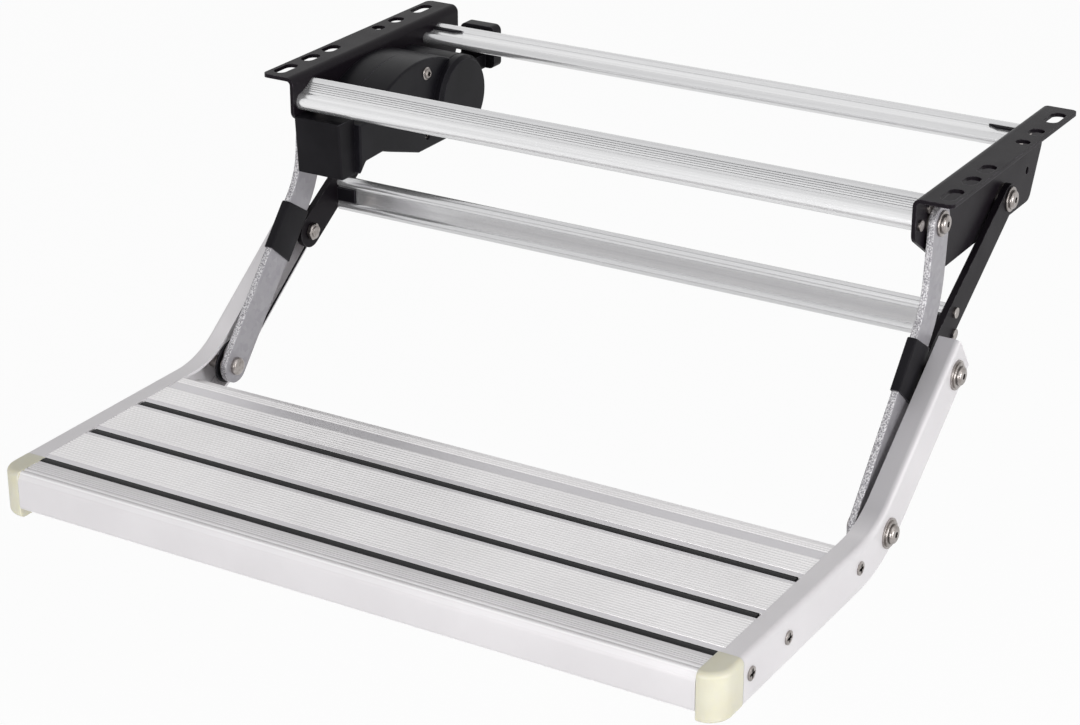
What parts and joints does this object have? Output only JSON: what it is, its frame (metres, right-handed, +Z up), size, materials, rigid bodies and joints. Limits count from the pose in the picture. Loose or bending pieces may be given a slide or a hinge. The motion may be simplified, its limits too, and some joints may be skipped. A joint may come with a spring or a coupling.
{
  "type": "electric caravan entry step",
  "caption": "Electric fold-out entry step for a caravan: ribbed aluminium tread on side rails, swung out on parallel arms from two floor brackets.",
  "frame": {"origin": "midway between the four end slots, on the top faces of the two mounting flanges", "axes": "+Z up, out of the flange tops; +X to the front, the way the tread comes out; +Y across the width, to the side without the drive"},
  "size_m": [0.5705, 0.595, 0.241],
  "materials": {
    "bracket_paint": "satin black powder coat",
    "arm_paint": "satin black powder coat",
    "galvanised_steel": "satin zinc coat with fine spangle",
    "bright_aluminium": "bright drawn extrusion with lengthwise lines",
    "satin_aluminium": "satin anodised",
    "ribbed_aluminium": "satin anodised, ribbed",
    "cap_plastic": "soft cream plastic",
    "strip_rubber": "matt black",
    "black_plastic": "matt black moulding",
    "housing_plastic": "satin black moulding",
    "fastener_steel": "bright zinc plated",
    "motor_steel": "plain steel",
    "gear_bronze": "plain bronze"
  },
  "bodies": {
    "mount_frame": {"cable_inlet": "black_plastic", "drive_cap": "housing_plastic", "drive_cover": "housing_plastic", "drive_housing": "housing_plastic", "drive_motor": "motor_steel", "frame_screws": "fastener_steel", "front_crossbar": "bright_aluminium", "housing_screws": "fastener_steel", "left_bracket": "bracket_paint", "left_rear_bar_tab": "black_plastic", "motor_end_cover": "black_plastic", "rear_crossbar": "bright_aluminium", "right_bracket": "bracket_paint", "right_rear_bar_tab": "black_plastic", "shaft_bush": "gear_bronze", "upper_pivot_bolts": "fastener_steel", "upper_pivot_nuts": "fastener_steel", "upper_pivot_washers": "fastener_steel"},
    "rear_arms": {"left_rear_arm": "arm_paint", "right_rear_arm": "arm_paint", "lower_crossbar": "bright_aluminium", "lower_crossbar_screws": "fastener_steel", "left_bar_tab": "black_plastic", "right_bar_tab": "black_plastic", "output_shaft": "motor_steel", "worm_wheel": "gear_bronze"},
    "worm": {"worm_shaft": "motor_steel"},
    "left_front_arm": {"left_front_arm": "galvanised_steel", "left_arm_sleeve": "black_plastic", "left_arm_rivet": "fastener_steel"},
    "right_front_arm": {"right_front_arm": "galvanised_steel", "right_arm_sleeve": "black_plastic", "right_arm_rivet": "fastener_steel"},
    "tread": {"front_grip_strip": "strip_rubber", "front_plank": "ribbed_aluminium", "front_tread_bolts": "fastener_steel", "left_end_cap": "cap_plastic", "left_rail": "satin_aluminium", "left_rail_insert": "black_plastic", "middle_grip_strip": "strip_rubber", "middle_plank": "ribbed_aluminium", "nosing_plank": "satin_aluminium", "rail_screws": "fastener_steel", "rear_grip_strip": "strip_rubber", "rear_plank": "ribbed_aluminium", "rear_tread_bolts": "fastener_steel", "rear_tread_nuts": "fastener_steel", "right_end_cap": "cap_plastic", "right_rail": "satin_aluminium", "right_rail_insert": "black_plastic", "tread_bolt_washers": "fastener_steel"}
  },
  "joints": [
    {"name": "rear_arms_swing", "type": "hinge", "parent": "mount_frame", "child": "rear_arms", "pos_m": [-0.044, 0, -0.0495], "axis": [0, 1, 0], "range_deg": [0, 142]},
    {"name": "tread_swing", "type": "hinge", "parent": "rear_arms", "child": "tread", "pos_m": [0.0925, 0, -0.135], "axis": [0, 1, 0], "range_deg": [-142, 0]},
    {"name": "left_front_arm_swing", "type": "hinge", "parent": "mount_frame", "child": "left_front_arm", "pos_m": [0.086, -0.2685, -0.0265], "axis": [0, 1, 0], "range_deg": [0, 90]},
    {"name": "right_front_arm_swing", "type": "hinge", "parent": "mount_frame", "child": "right_front_arm", "pos_m": [0.086, 0.2685, -0.0265], "axis": [0, 1, 0], "range_deg": [0, 90]},
    {"name": "worm_spin", "type": "hinge", "parent": "mount_frame", "child": "worm", "pos_m": [-0.03901, -0.239, -0.02602], "axis": [0.9781, 0, -0.2079], "range_deg": [0, 3408]}
  ],
  "couplings": [
    {"joint": "tread_swing", "follows": "rear_arms_swing", "ratio": -1},
    {"joint": "left_front_arm_swing", "follows": "rear_arms_swing", "ratio": 0.62244},
    {"joint": "right_front_arm_swing", "follows": "rear_arms_swing", "ratio": 0.62244},
    {"joint": "worm_spin", "follows": "rear_arms_swing", "ratio": 24}
  ]
}
